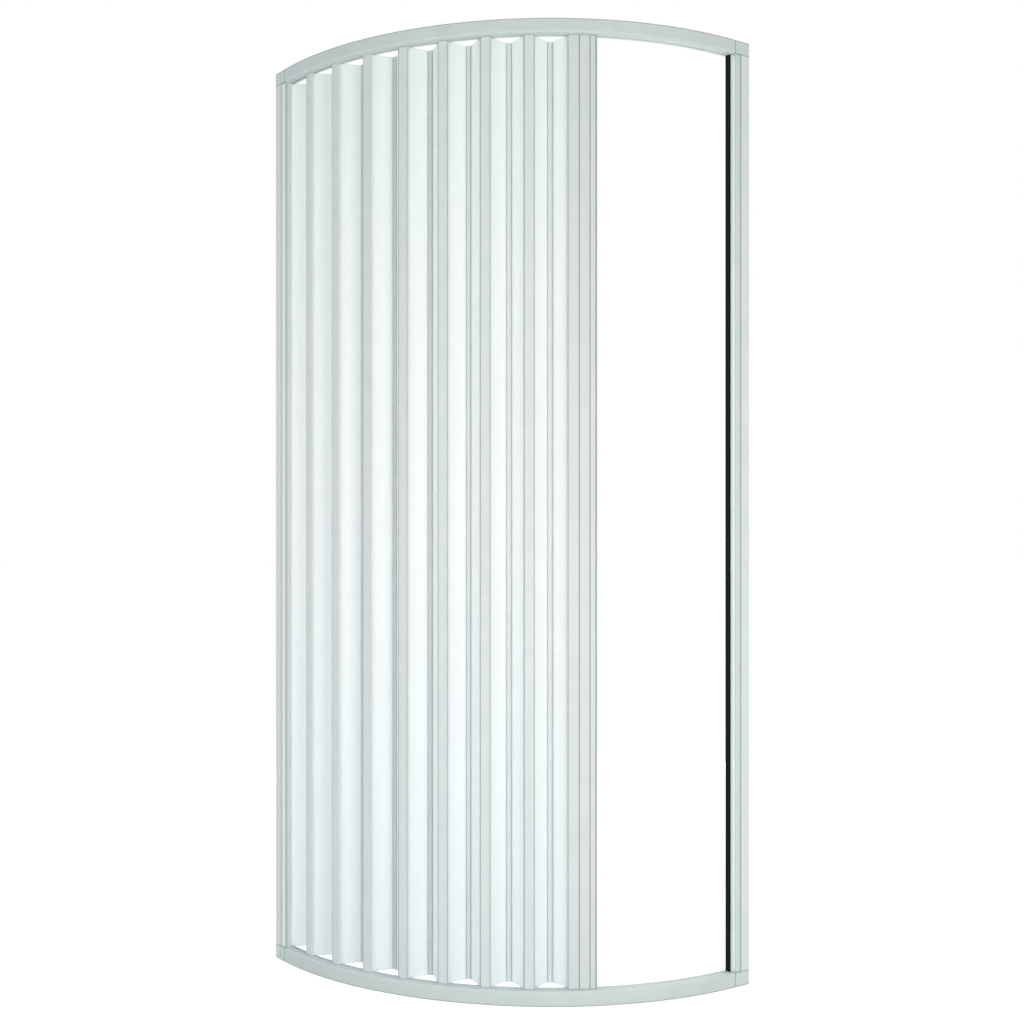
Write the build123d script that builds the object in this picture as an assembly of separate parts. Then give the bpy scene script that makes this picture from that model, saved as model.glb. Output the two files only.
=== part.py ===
from build123d import *
from math import acos, cos, degrees, radians, sin
import os

# Quadrant shower enclosure with a folding bellows door.
# Lengths are millimetres and angles are degrees.
# Plan: wall A is the plane x = -side/2, wall B is the plane y = +side/2, the floor is z = 0.
# The curved front is a quarter circle from the angle -90 (left end) to 0 (right end).

# Overall frame
height = 1850.0
arc_radius = 648.0
end_length = 38.0
side = arc_radius + end_length
centre_x = -side / 2 + end_length
centre_y = side / 2 - end_length
arc_start = -90.0
arc_end = 0.0

# How far a cutter reaches past the face that it cuts, and how far joined forms overlap
beyond = 1.0
overlap = 0.2

# Curved rails
rail_depth = 25.0
rail_height = 28.6
top_rail_height = 26.2
rail_inner = arc_radius - rail_depth
rail_chamfer_radial = 2.0
rail_chamfer_height = 4.0
slot_inner = 628.6
slot_outer = 631.8
slot_depth = 11.5
front_chamber_inner = 634.6
front_chamber_outer = 646.2
chamber_floor = 2.0
chamber_roof = 24.6
back_chamber_inner = 625.0
back_chamber_roof = 15.0
weep_width = 5.0
weep_depth = 3.0
weep_angles = (-70.0, -45.0, -20.0)

# Corner joint pieces
spigot_length = 18.0
spigot_clearance = 0.5
port_radius = 1.85
screw_hole_radius = 2.1
head_recess_radius = 4.0
head_recess_depth = 3.0

# Wall channels and the telescoping jambs inside them
frame_depth = 22.0
channel_wall = 1.8
channel_length = 21.7
jamb_wall = 1.5
jamb_step = 2.5
jamb_back_gap = 12.0
jamb_front = -309.5
nose_start = -311.0
nose_end = -304.5
nose_back = -330.0
nose_space_start = -309.4
nose_space_end = -306.0
nose_space_back = -331.5
bridge_end = -306.9
bridge_low = -329.6
bridge_high = -325.2
wall_hole_radius = 2.5
wall_hole_heights = (175.0, 675.0, 1175.0, 1675.0)
lock_hole_radius = 1.6
lock_heights = (200.0, 925.0, 1650.0)
lock_inset = 5.0
end_gap = 0.5

# Folding door layout at rest
pleats = 8
post_pitch = 7.52
first_post = -90.87
post_front = 635.0
hinge_radius = 632.5
outer_hinge_half = 9.0
inner_hinge_half = 5.0
slat_reach = 45.8

# Outer post section
strip_thickness = 1.8
strip_half = 8.6
strip_round = 1.9
core_half = 5.0
core_back = 626.5
core_wall = 1.2
core_front_wall = 1.0
hinge_web = 1.2

# Hinge barrels
bead_radius = 1.2
socket_inner = 1.3
socket_outer = 1.9
open_pivot_radius = 1.55
wedge_reach = 4.0
outer_open_low = -5.0
outer_open_high = 125.0
inner_open_low = -6.0
inner_open_high = 121.0

# Slats and inner posts
slat_thickness = 2.4
neck_thickness = 1.2
neck_length = 2.4
slat_gap = 0.8
web_half = 3.6
web_half_depth = 1.9
lip_thickness = 1.2
lip_start = -2.6
lip_reach = 12.5

# Handle profile
handle_inner = 619.0
handle_wall = 1.6
handle_wall_angle = 0.15
handle_left = -31.30
handle_right = -26.93
handle_grooves = (-29.71, -27.88)
groove_radius = 0.8
magnet_right = -26.66
magnet_inner = 623.6
magnet_outer = 636.3

# Sliders that run in the rail slots
slider_inner = 629.0
slider_outer = 631.4
slider_half = 8.0
slider_tongue = 11.0
slider_step = 0.1
plug_length = 15.0
plug_clearance = 0.3
handle_slider_angles = (-30.30, -28.10)
handle_plug_half = 4.0
handle_plug_inset = 0.5

# Strike side of the doorway
strike_face = 298.3
strike_seat_inner = 318.6
strike_magnet_inner = 322.6
strike_magnet_outer = 333.2
strike_magnet_gap = 0.2
strike_strip_outer = 341.0
strike_strip_face = 301.5
strike_seat = 305.5
strike_seat_thickness = 1.6
strike_round = 2.0
strike_end_round = 9.0

# Screws
corner_screw_length = 40.0
corner_screw_radius = 1.8
corner_head_radius = 3.75
corner_head_height = 2.5
lock_screw_length = 7.0
lock_screw_root = 0.5
lock_screw_radius = 1.45
lock_head_radius = 3.2
lock_head_height = 2.2

# Values that follow from the sizes above
top_trim = rail_height - top_rail_height
frame_top = height - top_rail_height
door_bottom = rail_height + end_gap
door_top = frame_top - end_gap
slat_bottom = rail_height + slat_gap
slat_top = frame_top - slat_gap
half_pitch = post_pitch / 2
hinge_offset = (
    hinge_radius * sin(radians(half_pitch))
    - outer_hinge_half * cos(radians(half_pitch))
    - inner_hinge_half
)
fold_angle = degrees(acos(hinge_offset / slat_reach))
slat_angle = fold_angle + half_pitch
inner_radius = (
    hinge_radius * cos(radians(half_pitch))
    + outer_hinge_half * sin(radians(half_pitch))
    - slat_reach * sin(radians(fold_angle))
)
jamb_back = -side / 2 + jamb_back_gap
jamb_outer_face = -side / 2 + jamb_step
jamb_inner_face = -side / 2 + frame_depth - jamb_step
channel_edge = -side / 2 + channel_length
port_x = -318.0
port_y = -332.0


def post_angle(number):
    """Angle of an outer post's middle line; the handle counts as the ninth post."""
    return first_post + post_pitch * (number - 1)


def about_centre(angle):
    """Frame with its origin on the curve's axis: first axis outward, second along the curve."""
    return Location((centre_x, centre_y, 0), (0, 0, angle))


def box_section(low_r, high_r, low_t, high_t):
    """Rectangle given by its limits."""
    middle = Pos((low_r + high_r) / 2, (low_t + high_t) / 2)
    return middle * Rectangle(high_r - low_r, high_t - low_t)


def fan(radius, low, high):
    """Sector shape from the origin between two angles, for cutting."""
    steps = 12
    points = [(0, 0)]
    for i in range(steps + 1):
        angle = radians(low + (high - low) * i / steps)
        points.append((radius * cos(angle), radius * sin(angle)))
    return make_face(Polyline(*points, close=True))


def ring_sector(inner, outer, low, high):
    """Part of a flat ring about the origin between two angles."""
    return (Circle(outer) - Circle(inner)) & fan(outer + rail_depth, low, high)


def prism(section, low, high):
    """Upright prism of a plan section between two heights."""
    return extrude(Pos(0, 0, low) * section, amount=high - low)


def block(low_x, high_x, low_y, high_y, low_z, high_z):
    """Box given by its limits."""
    return prism(box_section(low_x, high_x, low_y, high_y), low_z, high_z)


def rod(x, y, radius, low, high):
    """Upright cylinder between two heights."""
    return prism(Pos(x, y) * Circle(radius), low, high)


def mirrored_to_right(shape):
    """Left end parts reflected onto the right end of the curve."""
    return mirror(shape, about=Plane(origin=(0, 0, 0), z_dir=(1, 1, 0)))


def upside_down(shape):
    """Bottom parts reflected so that the bottom rail's upper face meets the top rail's lower face."""
    return mirror(shape, about=Plane(origin=(0, 0, (height + top_trim) / 2), z_dir=(0, 0, 1)))


# Frame parts

def rail_section(base):
    """Rail section: radius across, height up from its outer face at base, slot at the top."""
    outline = [
        (rail_inner, base),
        (arc_radius, base),
        (arc_radius, rail_height - rail_chamfer_height),
        (arc_radius - rail_chamfer_radial, rail_height),
        (rail_inner, rail_height),
    ]
    section = make_face(Polyline(*outline, close=True))
    section -= box_section(slot_inner, slot_outer, rail_height - slot_depth, rail_height + beyond)
    floor = base + chamber_floor
    section -= box_section(front_chamber_inner, front_chamber_outer, floor, chamber_roof)
    section -= box_section(back_chamber_inner, slot_outer, floor, back_chamber_roof)
    return section


def quarter_rail(base):
    """Quarter turn of the rail section about the curve's axis."""
    upright = Plane(origin=(0, 0, 0), x_dir=(1, 0, 0), z_dir=(0, -1, 0))
    rail = revolve(upright * rail_section(base), Axis.Z, arc_end - arc_start)
    return about_centre(arc_start) * rail


def bottom_rail():
    """Bottom rail, with drain notches from the slot to the room side."""
    rail = quarter_rail(0)
    for angle in weep_angles:
        notch = block(
            rail_inner - beyond,
            slot_inner + beyond,
            -weep_width / 2,
            weep_width / 2,
            rail_height - slot_depth,
            rail_height - slot_depth + weep_depth,
        )
        rail -= about_centre(angle) * notch
    return rail


def top_rail():
    """The same section upside down, lower by the trim and without drain notches."""
    return upside_down(quarter_rail(top_trim))


def corner_piece(base):
    """Left end block with a spigot for the rail chamber and one screw hole."""
    body = block(-side / 2, centre_x, -side / 2, -side / 2 + rail_depth, base, rail_height)
    spigot = block(
        centre_x - beyond,
        centre_x + spigot_length,
        centre_y - front_chamber_outer + spigot_clearance,
        centre_y - front_chamber_inner - spigot_clearance,
        base + chamber_floor + spigot_clearance,
        chamber_roof - spigot_clearance,
    )
    body += spigot
    body -= rod(port_x, port_y, screw_hole_radius, base - beyond, rail_height + beyond)
    body -= rod(port_x, port_y, head_recess_radius, base - beyond, base + head_recess_depth)
    return body


def wall_channel_left():
    """U channel with its web on the wall, wall screw holes and lock screw holes."""
    low_y = -side / 2
    high_y = -side / 2 + frame_depth
    outer = box_section(-side / 2, channel_edge, low_y, high_y)
    space = box_section(
        -side / 2 + channel_wall,
        channel_edge + beyond,
        low_y + channel_wall,
        high_y - channel_wall,
    )
    channel = prism(outer - space, rail_height, frame_top)
    for z in wall_hole_heights:
        hole = Cylinder(wall_hole_radius, 4 * channel_wall, rotation=(0, 90, 0))
        channel -= Pos(-side / 2, (low_y + high_y) / 2, z) * hole
    for z in lock_heights:
        hole = Cylinder(lock_hole_radius, 4 * channel_wall, rotation=(90, 0, 0))
        channel -= Pos(channel_edge - lock_inset, high_y, z) * hole
    return channel


def jamb_shell(front_edge):
    """Hollow telescoping profile with a screw port, before its front edge is finished."""
    outer = box_section(jamb_back, front_edge, jamb_outer_face, jamb_inner_face)
    space = box_section(
        jamb_back + jamb_wall,
        front_edge - jamb_wall,
        jamb_outer_face + jamb_wall,
        jamb_inner_face - jamb_wall,
    )
    rib_x = box_section(
        port_x - jamb_wall / 2,
        port_x + jamb_wall / 2,
        jamb_outer_face,
        jamb_inner_face,
    )
    port = Pos(port_x, port_y) * Circle(port_radius + jamb_wall)
    section = outer - space + rib_x + port
    return section - Pos(port_x, port_y) * Circle(port_radius)


def lock_holes_in(jamb):
    """Pilot holes for the lock screws in the room side of the jamb."""
    for z in lock_heights:
        hole = Cylinder(lock_hole_radius, 4 * jamb_wall, rotation=(90, 0, 0))
        jamb -= Pos(channel_edge - lock_inset, jamb_inner_face, z) * hole
    return jamb


def jamb_profile_left():
    """Telescoping profile whose front edge carries the first hinge socket."""
    shell = jamb_shell(jamb_front)
    shell += box_section(nose_start, nose_end, jamb_outer_face, nose_back)
    shell -= box_section(
        nose_space_start,
        nose_space_end,
        jamb_outer_face + jamb_wall,
        nose_space_back,
    )
    frame = about_centre(first_post)
    socket = frame * barrel_cutter(hinge_radius, outer_hinge_half, socket_outer)
    shell += box_section(nose_start, bridge_end, bridge_low, bridge_high)
    shell += socket
    shell -= frame * barrel_cutter(hinge_radius, outer_hinge_half, socket_inner)
    shell -= frame * outer_opening(hinge_radius, outer_hinge_half, 1)
    return lock_holes_in(prism(shell, rail_height, frame_top))


def jamb_profile_right():
    """Telescoping profile of the strike side, built on the left end and reflected."""
    shell = jamb_shell(-strike_seat)
    jamb = lock_holes_in(prism(shell, rail_height, frame_top))
    return mirrored_to_right(jamb)


def strike_end_cutter():
    """Cutter that rounds the bottom corner of the strike strip's front edge."""
    r = strike_end_round
    low_y = strike_strip_face - beyond
    high_y = strike_seat + beyond
    edge = strike_strip_outer
    corner = block(edge - r, edge + beyond, low_y, high_y, rail_height - beyond, rail_height + r)
    disc = Cylinder(r, high_y - low_y + beyond, rotation=(90, 0, 0))
    return corner - Pos(edge - r, (low_y + high_y) / 2, rail_height + r) * disc


def strike_profile():
    """Pale strip on the doorway face of the right jamb, with rounded front edge and a seat."""
    strip = box_section(
        strike_magnet_outer + strike_magnet_gap,
        strike_strip_outer,
        strike_strip_face,
        strike_seat,
    )
    edge = Pos(strike_strip_outer - strike_round, strike_strip_face + strike_round)
    corner = box_section(
        strike_strip_outer - strike_round,
        strike_strip_outer + beyond,
        strike_strip_face - beyond,
        strike_strip_face + strike_round,
    )
    strip -= corner
    strip += edge * Circle(strike_round)
    seat = box_section(
        strike_seat_inner,
        strike_magnet_outer + beyond,
        strike_seat - strike_seat_thickness,
        strike_seat,
    )
    profile = prism(strip + seat, door_bottom, door_top)
    cutter = strike_end_cutter()
    return profile - cutter - upside_down(cutter)


def strike_magnet():
    """Black magnetic strip that the handle closes against."""
    strip = box_section(
        strike_magnet_inner,
        strike_magnet_outer,
        strike_face,
        strike_seat - strike_seat_thickness,
    )
    return prism(strip, door_bottom, door_top)


def corner_screw(base):
    """Vertical screw that joins a corner piece to the jamb next to it."""
    seat = base + head_recess_depth
    start = seat - corner_head_height
    head = rod(port_x, port_y, corner_head_radius, start, seat)
    return head + rod(port_x, port_y, corner_screw_radius, start, corner_screw_length)


def corner_screws():
    """One screw at each of the four corner pieces."""
    bottom_left = corner_screw(0)
    bottom_right = mirrored_to_right(bottom_left)
    top_left = upside_down(corner_screw(top_trim))
    top_right = mirrored_to_right(top_left)
    return [bottom_left, bottom_right, top_left, top_right]


def lock_screw(z):
    """Short screw through the room side of a wall channel into the jamb."""
    x = channel_edge - lock_inset
    face = -side / 2 + frame_depth
    shank = Cylinder(lock_screw_radius, lock_screw_length, rotation=(90, 0, 0))
    head = Cylinder(lock_head_radius, lock_head_height, rotation=(90, 0, 0))
    shank = Pos(x, face - lock_screw_length / 2 + lock_screw_root, z) * shank
    return shank + Pos(x, face + lock_head_height / 2, z) * head


def lock_screws():
    """Three lock screws on each side."""
    left = [lock_screw(z) for z in lock_heights]
    return left + [mirrored_to_right(screw) for screw in left]


# Door parts

def barrel_cutter(radius, offset, size):
    """Disc at a hinge axis."""
    return Pos(radius, offset) * Circle(size)


def outer_opening(radius, offset, way):
    """Opening of an outer post's socket; way is 1 for the right edge and -1 for the left."""
    if way > 0:
        sector = fan(wedge_reach, 90 + outer_open_low, 90 + outer_open_high)
    else:
        sector = fan(wedge_reach, -90 - outer_open_high, -90 - outer_open_low)
    return Pos(radius, offset) * sector


def hinge_edge(section, way):
    """Add a hinge socket to one edge of an outer post section."""
    offset = way * outer_hinge_half
    near = way * (core_half - beyond)
    far = way * (outer_hinge_half - socket_inner)
    web_front = post_front - strip_thickness + overlap
    section += box_section(hinge_radius - hinge_web, web_front, min(near, far), max(near, far))
    section += barrel_cutter(hinge_radius, offset, socket_outer)
    section -= barrel_cutter(hinge_radius, offset, socket_inner)
    section -= outer_opening(hinge_radius, offset, way)
    return section


def front_strip(low, high):
    """Flat front of a post between two offsets, with a round at each edge that is given."""
    strip = box_section(post_front - strip_thickness, post_front, low, high)
    for edge in (low, high):
        if abs(edge) == strip_half:
            strip += barrel_cutter(post_front - strip_round, edge, strip_round)
    return strip


def outer_post_section():
    """Front strip, hollow core and a hinge socket along each edge."""
    strip = front_strip(-strip_half, strip_half)
    core = box_section(core_back, post_front - strip_thickness / 2, -core_half, core_half)
    space = box_section(
        core_back + core_wall,
        post_front - strip_thickness - core_front_wall,
        -core_half + core_wall,
        core_half - core_wall,
    )
    section = strip + core
    section = hinge_edge(section, 1)
    section = hinge_edge(section, -1)
    return section - space


def outer_post(number):
    """Moving outer post."""
    post = prism(outer_post_section(), door_bottom, door_top)
    return about_centre(post_angle(number)) * post


def slider_pair(angle, plug_low, plug_high, plug_half):
    """Bottom and top slider: a plug inside the profile and a tongue in the rail slot."""
    plug = block(
        plug_low,
        plug_high,
        -plug_half,
        plug_half,
        door_bottom - slider_step,
        door_bottom + plug_length,
    )
    tongue = block(
        slider_inner,
        slider_outer,
        -slider_half,
        slider_half,
        rail_height - slider_tongue,
        door_bottom - slider_step,
    )
    bottom = about_centre(angle) * (plug + tongue)
    return [bottom, upside_down(bottom)]


def post_sliders(number):
    """The two sliders of one outer post."""
    low = core_back + core_wall + plug_clearance
    high = post_front - strip_thickness - core_front_wall - plug_clearance
    half = core_half - core_wall - plug_clearance
    return slider_pair(post_angle(number), low, high, half)


def inner_opening():
    """Opening of an inner post's socket, toward the slat on its left."""
    sector = fan(wedge_reach, inner_open_low - 90, inner_open_high - 90)
    return Pos(inner_radius, -inner_hinge_half) * sector


def inner_post_section():
    """Web with a closed socket on the left and an open trough with a lip on the right."""
    low_r = inner_radius - web_half_depth
    high_r = inner_radius + web_half_depth
    section = box_section(low_r, high_r, -web_half, web_half)
    section += barrel_cutter(inner_radius, -inner_hinge_half, socket_outer)
    section -= barrel_cutter(inner_radius, -inner_hinge_half, socket_inner)
    section -= inner_opening()
    lip = box_section(
        inner_radius - open_pivot_radius - lip_thickness,
        inner_radius - open_pivot_radius,
        lip_start,
        lip_reach,
    )
    section += lip
    section -= barrel_cutter(inner_radius, inner_hinge_half, open_pivot_radius)
    return section


def inner_post(pleat):
    """Inner post midway between two outer posts."""
    post = prism(inner_post_section(), door_bottom, door_top)
    return about_centre(post_angle(pleat) + half_pitch) * post


def slat_section():
    """Thin panel with a hinge bead along each edge, lying along the first axis."""
    body = box_section(
        neck_length,
        slat_reach - neck_length,
        -slat_thickness / 2,
        slat_thickness / 2,
    )
    neck = box_section(0, slat_reach, -neck_thickness / 2, neck_thickness / 2)
    near_bead = Circle(bead_radius)
    far_bead = Pos(slat_reach, 0) * Circle(bead_radius)
    return body + neck + near_bead + far_bead


def slat(number, way):
    """Slat hinged on an outer post's right edge (way 1) or left edge (way -1)."""
    panel = prism(slat_section(), slat_bottom, slat_top)
    place = Location(
        (hinge_radius, way * outer_hinge_half, 0),
        (0, 0, way * (90 + slat_angle)),
    )
    return about_centre(post_angle(number)) * place * panel


def handle_profile():
    """Hollow curved closing profile with two front grooves and a hinge socket."""
    shell = ring_sector(handle_inner, post_front, handle_left, handle_right)
    space = ring_sector(
        handle_inner + handle_wall,
        post_front - handle_wall,
        handle_left + handle_wall_angle,
        handle_right - handle_wall_angle,
    )
    shell -= space
    for angle in handle_grooves:
        groove = Pos(post_front * cos(radians(angle)), post_front * sin(radians(angle)))
        shell -= groove * Circle(groove_radius)
    edge = hinge_edge(front_strip(-strip_half, -core_half), -1)
    turn = Rot(0, 0, post_angle(pleats + 1))
    shell += turn * edge
    return Pos(centre_x, centre_y, 0) * prism(shell, door_bottom, door_top)


def handle_magnet():
    """Grey magnetic strip on the leading edge of the handle profile."""
    strip = ring_sector(magnet_inner, magnet_outer, handle_right, magnet_right)
    return Pos(centre_x, centre_y, 0) * prism(strip, door_bottom, door_top)


def handle_sliders():
    """Two sliders at each end of the handle profile."""
    low = handle_inner + handle_wall + plug_clearance
    high = post_front - handle_wall - handle_plug_inset
    pieces = []
    for angle in handle_slider_angles:
        pieces += slider_pair(angle, low, high, handle_plug_half)
    return pieces


def save(name, shape):
    """Write one sub-part; a list becomes one file with separate solids."""
    if isinstance(shape, list):
        shape = Compound(children=shape)
    export_step(shape, "parts/" + name + ".step")


os.makedirs("parts", exist_ok=True)
corner = corner_piece(0)
top_corner = upside_down(corner_piece(top_trim))
channel = wall_channel_left()
save("top_rail", top_rail())
save("bottom_rail", bottom_rail())
save("corner_bottom_left", corner)
save("corner_bottom_right", mirrored_to_right(corner))
save("corner_top_left", top_corner)
save("corner_top_right", mirrored_to_right(top_corner))
save("wall_channel_left", channel)
save("wall_channel_right", mirrored_to_right(channel))
save("jamb_profile_left", jamb_profile_left())
save("jamb_profile_right", jamb_profile_right())
save("strike_profile", strike_profile())
save("strike_magnet", strike_magnet())
save("corner_screws", corner_screws())
save("lock_screws", lock_screws())
for number in range(2, pleats + 1):
    save("outer_post_" + str(number), outer_post(number))
    save("post_sliders_" + str(number), post_sliders(number))
for pleat in range(1, pleats + 1):
    save("slat_left_" + str(pleat), slat(pleat, 1))
    save("inner_post_" + str(pleat), inner_post(pleat))
    save("slat_right_" + str(pleat), slat(pleat + 1, -1))
save("handle_profile", handle_profile())
save("handle_magnet", handle_magnet())
save("handle_sliders", handle_sliders())
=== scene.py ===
import math
import bpy
import numpy as np
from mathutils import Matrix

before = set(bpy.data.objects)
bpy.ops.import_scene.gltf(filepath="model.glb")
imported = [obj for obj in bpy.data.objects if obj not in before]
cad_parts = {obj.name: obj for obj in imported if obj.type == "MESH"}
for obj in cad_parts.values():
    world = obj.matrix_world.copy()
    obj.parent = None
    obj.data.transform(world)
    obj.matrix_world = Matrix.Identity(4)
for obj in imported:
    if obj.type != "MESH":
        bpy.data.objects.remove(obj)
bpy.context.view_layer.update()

# Sizes of the part in metres, and angles in degrees about the upright axis of the curved front
HEIGHT = 1.850
RAIL_HEIGHT = 0.0286
TOP_RAIL_HEIGHT = 0.0262
AXIS = (-0.305, 0.305)
PLEATS = 8
PITCH = 7.52
FIRST_POST = -90.87
HINGE_RADIUS = 0.6325
INNER_RADIUS = 0.5951
RIB_PITCH = 0.0029

# Places of painted shadow lines and painted shade, in metres, and in degrees on the handle
GROOVE = 0.0091
GROOVE_FLOOR = 0.6334
RIGHT_GROOVE_FROM = -72.0
RIGHT_GROOVE_FADE = 14.0
INNER_EDGE = 0.0046
HANDLE_GROOVES = (-29.71, -27.88)
HANDLE_HINGE = 31.44
EDGE = 0.0010
CHANNEL_EDGE = 0.3213
LEFT_LINE_X = -0.3215
JAMB_FRONT_Y = -0.3405
JAMB_SIDE_X = -0.3052
JAMB_SIDE_Y = -0.341
JAMB_EDGE_X = -0.3045
STRIKE_SEAM_Y = 0.3060
SLIDE_SEAM_Y = 0.3200

# Horizontal direction from the photo's camera to the part, and the studio's fill light
BACKDROP = (-0.824, 0.566, 0.0)
FILL_FRONT, FILL_BACK = 0.73, 1.08
FILL_ABOVE = 0.5
LAMP_AIM = (-0.1, 0.0, 1.0)


def srgb(text):
    """Linear RGBA of a hex colour."""
    out = []
    for i in (1, 3, 5):
        c = int(text[i:i + 2], 16) / 255
        out.append(c / 12.92 if c <= 0.04045 else ((c + 0.055) / 1.055) ** 2.4)
    return (*out, 1.0)


def node(tree, kind, inputs=None, **settings):
    """Add a shader node with its settings; each input is a value or the output that feeds it."""
    n = tree.nodes.new(kind)
    for key, value in settings.items():
        setattr(n, key, value)
    for key, value in (inputs or {}).items():
        if isinstance(value, bpy.types.NodeSocket):
            tree.links.new(value, n.inputs[key])
        else:
            n.inputs[key].default_value = value
    return n


def maths(tree, operation, first, second=0.0):
    """Output of one arithmetic node."""
    return node(tree, "ShaderNodeMath", {0: first, 1: second}, operation=operation).outputs[0]


def new_material(name, rough, spec):
    """A material with one Principled shader; returns it with its object coordinates."""
    mat = bpy.data.materials.new(name)
    mat.use_nodes = True
    tree = mat.node_tree
    shader = tree.nodes["Principled BSDF"]
    shader.inputs["Roughness"].default_value = rough
    shader.inputs["Specular IOR Level"].default_value = spec
    coords = tree.nodes.new("ShaderNodeTexCoord").outputs["Object"]
    return mat, tree, shader, coords


def ramp(tree, source, stops):
    """Colour ramp; stops are (position, hex colour)."""
    n = node(tree, "ShaderNodeValToRGB", {"Fac": source})
    elements = n.color_ramp.elements
    while len(elements) < len(stops):
        elements.new(0.5)
    for element, (place, colour) in zip(elements, stops):
        element.position = place
        element.color = srgb(colour)
    return n.outputs["Color"]


def blend_colour(tree, factor, first, second):
    """Mix of two colours; each is an output or a hex colour."""
    n = node(tree, "ShaderNodeMix", {0: factor}, data_type="RGBA")
    for slot, colour in ((6, first), (7, second)):
        if isinstance(colour, str):
            n.inputs[slot].default_value = srgb(colour)
        else:
            tree.links.new(colour, n.inputs[slot])
    return n.outputs[2]


def near(tree, source, middle, half, soft):
    """One where a value lies within half of the middle, fading to zero over the soft width."""
    off = maths(tree, "ABSOLUTE", maths(tree, "SUBTRACT", source, middle))
    fade = node(tree, "ShaderNodeMapRange", {"Value": off, "From Min": half,
                                             "From Max": half + soft, "To Min": 1.0, "To Max": 0.0})
    return fade.outputs[0]


def above(tree, source, level, soft):
    """Zero below a level and one beyond it, over the soft width."""
    rise = node(tree, "ShaderNodeMapRange", {"Value": source, "From Min": level,
                                             "From Max": level + soft})
    return rise.outputs[0]


def most(tree, factors):
    """Largest of several factors."""
    out = factors[0]
    for factor in factors[1:]:
        out = maths(tree, "MAXIMUM", out, factor)
    return out


def plan_place(tree, coords):
    """X, Y and Z of a point, with its radius and its angle in degrees about the curve's axis, each
    under its name."""
    split = node(tree, "ShaderNodeSeparateXYZ", {0: coords}).outputs
    east = maths(tree, "SUBTRACT", split["X"], AXIS[0])
    north = maths(tree, "SUBTRACT", split["Y"], AXIS[1])
    square = maths(tree, "ADD", maths(tree, "MULTIPLY", east, east),
                   maths(tree, "MULTIPLY", north, north))
    angle = maths(tree, "MULTIPLY", maths(tree, "ARCTAN2", north, east), 180.0 / math.pi)
    return {"x": split["X"], "y": split["Y"], "z": split["Z"],
            "radius": maths(tree, "SQRT", square), "angle": angle}


def post_offset(tree, angle, radius, first):
    """Sideways offset in metres from the middle line of the nearest post of a row of posts."""
    turn = maths(tree, "DIVIDE", maths(tree, "SUBTRACT", angle, first), PITCH)
    part = maths(tree, "SUBTRACT", turn, maths(tree, "ROUND", turn))
    metres = PITCH * math.pi / 180.0 * radius
    return maths(tree, "MULTIPLY", part, metres)


def extruded_pvc(name, low, high, rough=0.55, draw=2500.0, bump=0.00002, spec=0.3):
    """Extruded rigid PVC: a satin pale skin with a faint milky mottle a few centimetres wide and
    very fine upright die lines of about half a millimetre, which soften the highlight. Returns the
    material with its node tree, its shader, its colour and the place values."""
    mat, tree, shader, coords = new_material(name, rough, spec)
    mottle = node(tree, "ShaderNodeTexNoise", {"Vector": coords, "Scale": 22.0, "Detail": 3.0})
    colour = ramp(tree, mottle.outputs["Fac"], ((0.30, low), (0.70, high)))
    tree.links.new(colour, shader.inputs["Base Color"])
    stretch = node(tree, "ShaderNodeMapping", {"Vector": coords, "Scale": (draw, draw, 2.0)})
    lines = node(tree, "ShaderNodeTexNoise", {"Vector": stretch.outputs[0], "Scale": 1.0})
    lift = node(tree, "ShaderNodeBump", {"Height": lines.outputs["Fac"], "Strength": 0.25,
                                         "Distance": bump})
    tree.links.new(lift.outputs["Normal"], shader.inputs["Normal"])
    wear = node(tree, "ShaderNodeMapRange", {"Value": mottle.outputs["Fac"],
                                             "To Min": rough - 0.06, "To Max": rough + 0.08})
    tree.links.new(wear.outputs["Result"], shader.inputs["Roughness"])
    return mat, tree, shader, colour, plan_place(tree, coords)


def paint_shade_lines(tree, shader, colour, factor, dark):
    """Darken the base colour of a material where shade is painted: shadow lines and shaded bands.
    """
    tree.links.new(blend_colour(tree, factor, colour, dark), shader.inputs["Base Color"])


def rail_pvc():
    """Extruded rail, a shade greyer than the posts, with a thin shadow line along its outer
    bottom and top edges and where it butts against the corner pieces."""
    mat, tree, shader, colour, place = extruded_pvc("extruded PVC rail", "#D6DEDD", "#DCE3E2")
    shade_lines = [near(tree, place["z"], EDGE, 0.0006, 0.0003),
             near(tree, place["z"], HEIGHT - EDGE, 0.0006, 0.0003),
             near(tree, place["x"], AXIS[0], 0.0011, 0.0005),
             near(tree, place["y"], AXIS[1], 0.0011, 0.0005)]
    paint_shade_lines(tree, shader, colour, most(tree, shade_lines), "#AEB8B7")
    return mat


def corner_pvc():
    """Moulded corner piece, very slightly greener, with a shadow line at each joint, a painted
    shadow line along its outer edge and a faint darker line on the left pieces, in line with the
    channel's open edge."""
    mat, tree, shader, colour, place = extruded_pvc("moulded PVC corner", "#D6E0DD", "#DCE5E2",
                                                    rough=0.5, draw=900.0)
    left_line = near(tree, place["x"], LEFT_LINE_X, 0.0008, 0.0006)
    # Painted shadow lines at the joints and along the outer edges, and the faint darker line on the
    # left pieces.
    shade_lines = [near(tree, place["x"], AXIS[0], 0.0009, 0.0005),
             near(tree, place["y"], AXIS[1], 0.0009, 0.0005),
             near(tree, place["z"], RAIL_HEIGHT, 0.0012, 0.0006),
             near(tree, place["z"], HEIGHT - TOP_RAIL_HEIGHT, 0.0012, 0.0006),
             near(tree, place["z"], EDGE, 0.0006, 0.0003),
             near(tree, place["z"], HEIGHT - EDGE, 0.0006, 0.0003),
             maths(tree, "MULTIPLY", left_line, 0.6)]
    paint_shade_lines(tree, shader, colour, most(tree, shade_lines), "#ACB7B7")
    return mat


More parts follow.
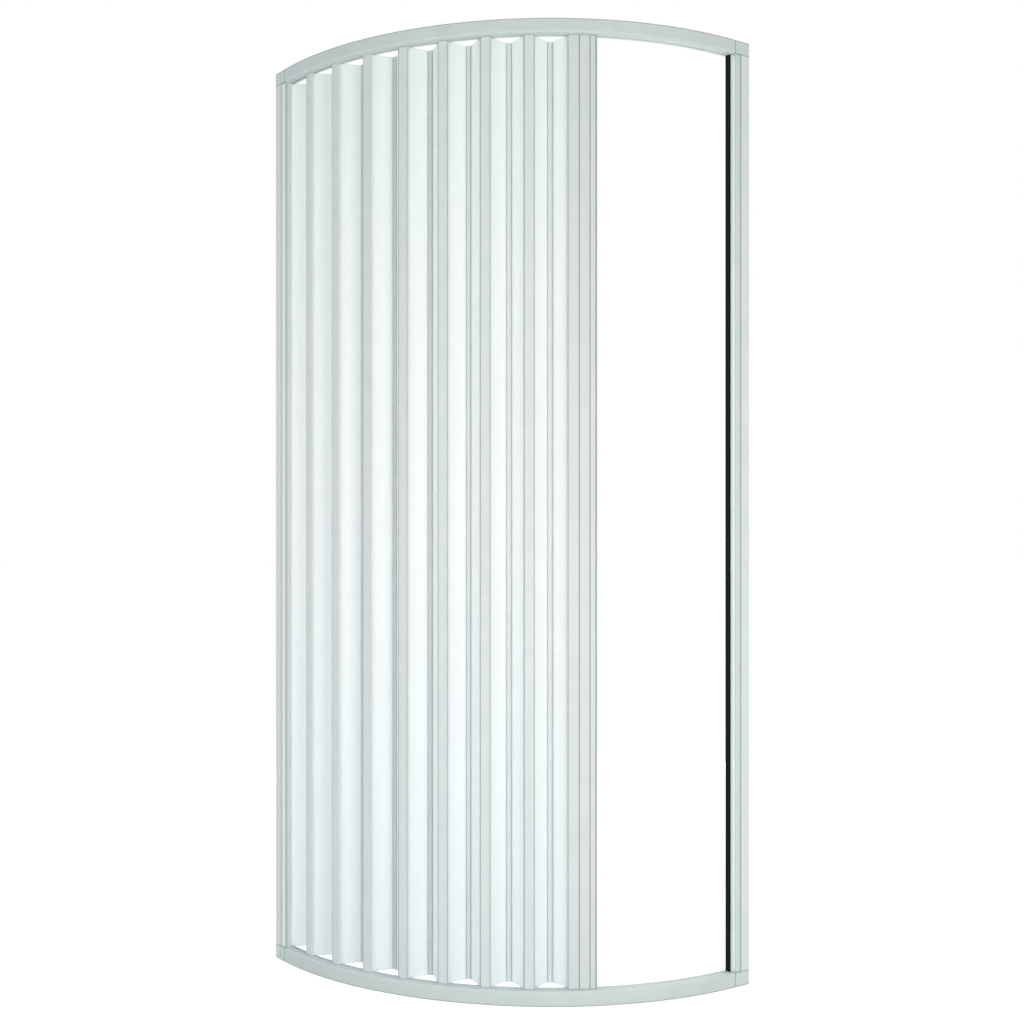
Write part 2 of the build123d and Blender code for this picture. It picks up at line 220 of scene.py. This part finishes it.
def channel_pvc():
    """Extruded wall channel, with a shadow line at each end and a thin one along its open edge."""
    mat, tree, shader, colour, place = extruded_pvc("extruded PVC wall channel",
                                                    "#E2E9E7", "#E8EEEC")
    shade_lines = [near(tree, place["x"], -CHANNEL_EDGE, 0.0002, 0.0003),
             near(tree, place["y"], CHANNEL_EDGE, 0.0002, 0.0003),
             near(tree, place["z"], RAIL_HEIGHT, 0.0006, 0.0006),
             near(tree, place["z"], HEIGHT - TOP_RAIL_HEIGHT, 0.0006, 0.0006)]
    paint_shade_lines(tree, shader, colour, most(tree, shade_lines), "#C6CFCF")
    return mat


def left_jamb_pvc():
    """Left jamb: a front face blended to white as painted light, bounded by a shadow line, and an
    end face greyed by painted shade that lightens toward the first hinge."""
    mat, tree, shader, colour, place = extruded_pvc("extruded PVC left jamb",
                                                    "#E2E8E6", "#E8EDEB")
    x, y = place["x"], place["y"]
    front = near(tree, y, JAMB_FRONT_Y, 0.0004, 0.0002)
    side = maths(tree, "MULTIPLY", above(tree, x, JAMB_SIDE_X, 0.0004),
                 near(tree, y, JAMB_SIDE_Y, 0.0016, 0.0080))
    # Painted light: the front face is blended to white so it looks lit.
    white = blend_colour(tree, front, colour, "#FFFFFF")
    # Painted shade: the end face is greyed, fading out toward the first hinge.
    grey = blend_colour(tree, maths(tree, "MULTIPLY", side, 0.75), white, "#A9B5B5")
    # Painted shadow line along the front edge of the end face.
    edge = maths(tree, "MULTIPLY", near(tree, x, JAMB_EDGE_X, 0.0010, 0.0004),
                 near(tree, y, JAMB_SIDE_Y, 0.0010, 0.0004))
    paint_shade_lines(tree, shader, grey, edge, "#A9B5B5")
    return mat


def right_jamb_pvc():
    """Right jamb: a recessed face whose colour is set slightly greyer as painted shade of the
    recess, with a shadow line where it meets the strike strip and where it slides into the wall
    channel."""
    # Base colours a shade greyer than the left jamb: painted shade of the recess.
    mat, tree, shader, colour, place = extruded_pvc("extruded PVC right jamb",
                                                    "#DDE5E4", "#E2E9E8")
    shade_lines = [near(tree, place["y"], STRIKE_SEAM_Y, 0.0022, 0.0012),
             near(tree, place["y"], SLIDE_SEAM_Y, 0.0012, 0.0012)]
    paint_shade_lines(tree, shader, colour, maths(tree, "MULTIPLY", most(tree, shade_lines), 0.5), "#C2CCCC")
    return mat


def strike_pvc():
    """Strike strip: the palest extruded profile of the frame."""
    return extruded_pvc("extruded PVC strike strip", "#EEF3F2", "#F3F7F6")[0]


def outer_post_pvc():
    """Outer post: pale front strip and hinge barrels, parted along both edges by a painted groove
    shadow, drawn on the front only. The right one fades out on the posts near the left end, where
    those barrels catch the light."""
    mat, tree, shader, colour, place = extruded_pvc("extruded PVC outer post",
                                                    "#E1E7E6", "#E7EBEA")
    angle = place["angle"]
    offset = post_offset(tree, angle, HINGE_RADIUS, FIRST_POST)
    # Painted shade of the grooves; the right one is faded out toward the left end, where the
    # barrels are lit.
    right = maths(tree, "MULTIPLY", near(tree, offset, GROOVE, 0.0004, 0.0003),
                  above(tree, angle, RIGHT_GROOVE_FROM, RIGHT_GROOVE_FADE))
    line = most(tree, [near(tree, offset, -GROOVE, 0.0004, 0.0003), right])
    groove = maths(tree, "MULTIPLY", line, above(tree, place["radius"], GROOVE_FLOOR, 0.0002))
    paint_shade_lines(tree, shader, colour, groove, "#8D9999")
    return mat


def inner_post_pvc():
    """Inner post: the same pale PVC, with painted shade making the hinge edges slightly greyer."""
    mat, tree, shader, colour, place = extruded_pvc("extruded PVC inner post",
                                                    "#DEE4E3", "#E3E8E7")
    offset = post_offset(tree, place["angle"], INNER_RADIUS, FIRST_POST + PITCH / 2)
    # Painted shade of the hinge sockets.
    edge = above(tree, maths(tree, "ABSOLUTE", offset), INNER_EDGE, 0.0004)
    paint_shade_lines(tree, shader, colour, edge, "#DCE3E2")
    return mat


def handle_pvc():
    """Handle profile: three pale flats parted by two snap-joint grooves darkened with painted
    shade, the right one fainter and wider, and a painted shadow along the soft hinge edge on the
    left."""
    mat, tree, shader, colour, place = extruded_pvc("extruded PVC handle", "#DCE1E0", "#E1E5E4")
    angle = place["angle"]
    left, right = HANDLE_GROOVES
    # Painted shade in the two snap-joint grooves.
    shade_lines = [near(tree, angle, left, 0.085, 0.03),
             maths(tree, "MULTIPLY", near(tree, angle, right, 0.11, 0.04), 0.7)]
    # Painted shadow of the hinge barrel along the left edge.
    hinge = above(tree, maths(tree, "MULTIPLY", angle, -1.0), HANDLE_HINGE, 0.03)
    soft = blend_colour(tree, hinge, colour, "#C9D2D2")
    paint_shade_lines(tree, shader, soft, most(tree, shade_lines), "#A2AEAF")
    return mat


def magnet_strip(name, low, high):
    """Flexible magnet strip: matt rubber with a fine grain and dull upright draw marks."""
    return extruded_pvc(name, low, high, rough=0.7, draw=1800.0, spec=0.12)[0]


def slider_nylon():
    """Moulded nylon slider: off-white with a waxy sheen and a fine mould texture."""
    return extruded_pvc("white nylon slider", "#DCDDD8", "#E4E4E0", rough=0.45, draw=600.0)[0]


def screw_steel():
    """Stainless screw: bright metal with a fine turned grain and slightly uneven polish."""
    mat, tree, shader, coords = new_material("stainless steel", 0.3, 0.5)
    shader.inputs["Metallic"].default_value = 1.0
    grain = node(tree, "ShaderNodeTexNoise", {"Vector": coords, "Scale": 1500.0})
    colour = ramp(tree, grain.outputs["Fac"], ((0.35, "#A7A9AA"), (0.65, "#C6C8C9")))
    tree.links.new(colour, shader.inputs["Base Color"])
    rough = node(tree, "ShaderNodeMapRange", {"Value": grain.outputs["Fac"], "To Min": 0.22,
                                              "To Max": 0.4})
    tree.links.new(rough.outputs["Result"], shader.inputs["Roughness"])
    return mat


def slat_pvc():
    """Translucent PVC slat, thin enough to glow with the light behind it: pearl white, with a
    painted reflection and shade that make it a little greener and darker toward the top and bluer
    and darker toward the bottom, and painted light that keeps it whiter toward the shaded crease at
    the inner hinge, a touch greyer away from it. It has upright ribs 2.9 mm apart and faint streaks
    of the draw. Ribs and streaks follow the distance from the curve's axis, which changes steadily
    across a slat."""
    mat, tree, shader, coords = new_material("translucent ribbed PVC slat", 0.5, 0.3)
    place = plan_place(tree, coords)
    radius = place["radius"]
    # Painted reflection and shade: greener at the top, bluer at the bottom, a touch darker at both
    # ends.
    up = node(tree, "ShaderNodeMapRange", {"Value": place["z"], "From Max": HEIGHT}).outputs[0]
    tint = ramp(tree, up, ((0.0, "#F2FBFF"), (0.25, "#F8FDFF"), (0.5, "#FCFEFE"),
                           (0.78, "#F9FEFC"), (1.0, "#F1FDF8")))
    # Painted light: whiter toward the inner hinge to offset the shade in the pleat's crease.
    deep = node(tree, "ShaderNodeMapRange", {"Value": radius, "From Min": INNER_RADIUS,
                                             "From Max": HINGE_RADIUS}).outputs[0]
    depth = ramp(tree, deep, ((0.0, "#FFFFFF"), (0.7, "#FCFDFD")))
    across = node(tree, "ShaderNodeCombineXYZ", {0: maths(tree, "MULTIPLY", radius, 420.0),
                                                 2: maths(tree, "MULTIPLY", place["z"], 1.2)})
    streak = node(tree, "ShaderNodeTexNoise", {"Vector": across.outputs[0], "Scale": 1.0})
    shade = ramp(tree, streak.outputs["Fac"], ((0.3, "#FCFDFD"), (0.7, "#FFFFFF")))
    for layer in (depth, shade):
        both = node(tree, "ShaderNodeMix", {0: 1.0, 6: tint, 7: layer}, data_type="RGBA",
                    blend_type="MULTIPLY")
        tint = both.outputs[2]
    tree.links.new(tint, shader.inputs["Base Color"])
    ribs = maths(tree, "SINE", maths(tree, "MULTIPLY", radius, 2 * math.pi / RIB_PITCH))
    lift = node(tree, "ShaderNodeBump", {"Height": ribs, "Strength": 0.3, "Distance": 0.00015})
    tree.links.new(lift.outputs["Normal"], shader.inputs["Normal"])
    shader.inputs["Subsurface Weight"].default_value = 0.9
    shader.inputs["Subsurface Radius"].default_value = (1.0, 1.0, 1.0)
    shader.inputs["Subsurface Scale"].default_value = 0.012
    return mat


corner_material = corner_pvc()
rail_material = rail_pvc()
channel_material = channel_pvc()
outer_material = outer_post_pvc()
inner_material = inner_post_pvc()
slat_material = slat_pvc()
nylon = slider_nylon()
steel = screw_steel()

CAD_MATERIALS = {
    "top_rail": rail_material,
    "bottom_rail": rail_material,
    "corner_bottom_left": corner_material,
    "corner_bottom_right": corner_material,
    "corner_top_left": corner_material,
    "corner_top_right": corner_material,
    "wall_channel_left": channel_material,
    "wall_channel_right": channel_material,
    "jamb_profile_left": left_jamb_pvc(),
    "jamb_profile_right": right_jamb_pvc(),
    "strike_profile": strike_pvc(),
    "strike_magnet": magnet_strip("black magnet strip", "#050809", "#0A0E0F"),
    "corner_screws": steel,
    "lock_screws": steel,
    "handle_profile": handle_pvc(),
    "handle_magnet": magnet_strip("grey magnet strip", "#ABB3B5", "#B2BABC"),
    "handle_sliders": nylon,
}
for k in range(2, PLEATS + 1):
    CAD_MATERIALS["outer_post_%d" % k] = outer_material
    CAD_MATERIALS["post_sliders_%d" % k] = nylon
for k in range(1, PLEATS + 1):
    CAD_MATERIALS["inner_post_%d" % k] = inner_material
    CAD_MATERIALS["slat_left_%d" % k] = slat_material
    CAD_MATERIALS["slat_right_%d" % k] = slat_material
for name, material in CAD_MATERIALS.items():
    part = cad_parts[name]
    part.data.materials.clear()
    part.data.materials.append(material)


def seen_directly(tree):
    """One where the camera, a mirror reflection or clear glass looks at the backdrop, else zero."""
    path = tree.nodes.new("ShaderNodeLightPath").outputs
    return most(tree, [path["Is Camera Ray"], path["Is Glossy Ray"], path["Is Transmission Ray"]])


def stage_floor():
    """Round pale floor under the part: rings of points on circles of growing radius. The camera
    sees it as white paper with the part's soft shadow."""
    rings, spokes = 6, 64
    turn = 2 * math.pi * np.arange(spokes) / spokes
    radius = 60.0 * (np.arange(1, rings + 1) / rings) ** 2.5
    points = np.zeros((rings * spokes + 1, 3))
    points[1:, 0] = (radius[:, None] * np.cos(turn)).ravel()
    points[1:, 1] = (radius[:, None] * np.sin(turn)).ravel()
    s = np.arange(spokes)
    t = (s + 1) % spokes
    inner = 1 + spokes * np.arange(rings - 1)[:, None]
    quads = np.stack([inner + s, inner + spokes + s, inner + spokes + t, inner + t], -1)
    hub = np.stack([0 * s, 1 + s, 1 + t], -1)
    mesh = bpy.data.meshes.new("floor")
    mesh.from_pydata(points.tolist(), [], hub.tolist() + quads.reshape(-1, 4).tolist())
    floor = bpy.data.objects.new("floor", mesh)
    bpy.context.scene.collection.objects.link(floor)
    floor.location = (0, 0, -0.0005)
    mat, tree, shader, coords = new_material("pale studio floor", 0.9, 0.0)
    grain = node(tree, "ShaderNodeTexNoise", {"Vector": coords, "Scale": 3.0}).outputs["Fac"]
    bounce = ramp(tree, grain, ((0.3, "#D6D8D8"), (0.7, "#DADCDC")))
    tree.links.new(bounce, shader.inputs["Base Color"])
    white = ramp(tree, grain, ((0.3, "#FAFAFA"), (0.7, "#FDFDFD")))
    paper = node(tree, "ShaderNodeBsdfDiffuse", {"Color": white})
    glow = node(tree, "ShaderNodeEmission", {"Color": srgb("#FFFFFF"), "Strength": 0.5})
    both = node(tree, "ShaderNodeAddShader", {0: paper.outputs[0], 1: glow.outputs[0]})
    mix = node(tree, "ShaderNodeMixShader", {0: seen_directly(tree), 1: shader.outputs[0],
                                             2: both.outputs[0]})
    tree.links.new(mix.outputs[0], tree.nodes["Material Output"].inputs[0])
    mesh.materials.append(mat)


stage_floor()


def area_light(name, place, aim, size, power, colour):
    """Soft square light that points at a place."""
    data = bpy.data.lights.new(name, "AREA")
    data.size = size
    data.energy = power
    data.color = srgb(colour)[:3]
    lamp = bpy.data.objects.new(name, data)
    bpy.context.scene.collection.objects.link(lamp)
    lamp.location = place
    east, north, up = (a - p for a, p in zip(aim, place))
    tilt = math.atan2(math.hypot(east, north), -up)
    lamp.rotation_euler = (tilt, 0, math.atan2(north, east) - math.pi / 2)


def studio():
    """White surroundings that the camera sees as plain white. They light the part a little more
    from the backdrop's side and less from above, with soft lamps in front of the curve and behind
    the slats."""
    world = bpy.data.worlds.new("studio")
    bpy.context.scene.world = world
    world.use_nodes = True
    tree = world.node_tree
    tree.nodes.clear()
    seen = node(tree, "ShaderNodeBackground", {"Color": srgb("#FFFFFF"), "Strength": 1.0})
    toward = node(tree, "ShaderNodeTexCoord").outputs["Generated"]
    behind = node(tree, "ShaderNodeVectorMath", {0: toward, 1: BACKDROP}, operation="DOT_PRODUCT")
    side = node(tree, "ShaderNodeMapRange", {"Value": behind.outputs["Value"], "From Min": -0.3,
                                             "From Max": 0.8, "To Min": FILL_FRONT,
                                             "To Max": FILL_BACK})
    rise = node(tree, "ShaderNodeSeparateXYZ", {0: toward}).outputs["Z"]
    ceiling = node(tree, "ShaderNodeMapRange", {"Value": rise, "From Min": 0.1, "From Max": 1.0,
                                                "To Min": 1.0, "To Max": FILL_ABOVE})
    power = maths(tree, "MULTIPLY", side.outputs[0], ceiling.outputs[0])
    fill = node(tree, "ShaderNodeBackground", {"Color": srgb("#F1F9FA"), "Strength": power})
    mix = node(tree, "ShaderNodeMixShader", {0: seen_directly(tree), 1: fill.outputs[0],
                                             2: seen.outputs[0]})
    node(tree, "ShaderNodeOutputWorld", {0: mix.outputs[0]})
    area_light("key", (2.35, -0.68, 0.85), (0.2, 0.0, 0.85), 0.9, 21, "#FFFBF8")
    area_light("left front", (0.5, -2.6, 0.9), (-0.1, -0.1, 0.9), 1.0, 7, "#FFFFFF")
    area_light("back", (-0.5, 2.5, 1.0), LAMP_AIM, 2.7, 38, "#FFFFFF")
    area_light("inner side", (-2.5, -0.2, 1.0), LAMP_AIM, 2.7, 25, "#FFFFFF")


studio()


def photo_camera():
    """Level camera fitted to both curved rails: 48.4 mm lens, 0.867 m high, shifted frame. Its
    focal length and its principal point are in pixels of a square frame."""
    frame_pixels, focal_pixels, centre_x, centre_y = 1024.0, 1376.0, 450.3, 543.4
    data = bpy.data.cameras.new("camera")
    data.sensor_width = 36.0
    data.lens = focal_pixels / frame_pixels * data.sensor_width
    data.shift_x = (frame_pixels / 2 - centre_x) / frame_pixels
    data.shift_y = (centre_y - frame_pixels / 2) / frame_pixels
    data.clip_end = 50.0
    camera = bpy.data.objects.new("camera", data)
    bpy.context.scene.collection.objects.link(camera)
    camera.location = (2.24258, -1.67509, 0.867)
    camera.rotation_euler = (math.radians(90), 0, math.radians(55.52))
    bpy.context.scene.camera = camera


photo_camera()
bpy.context.scene.view_settings.view_transform = "Standard"
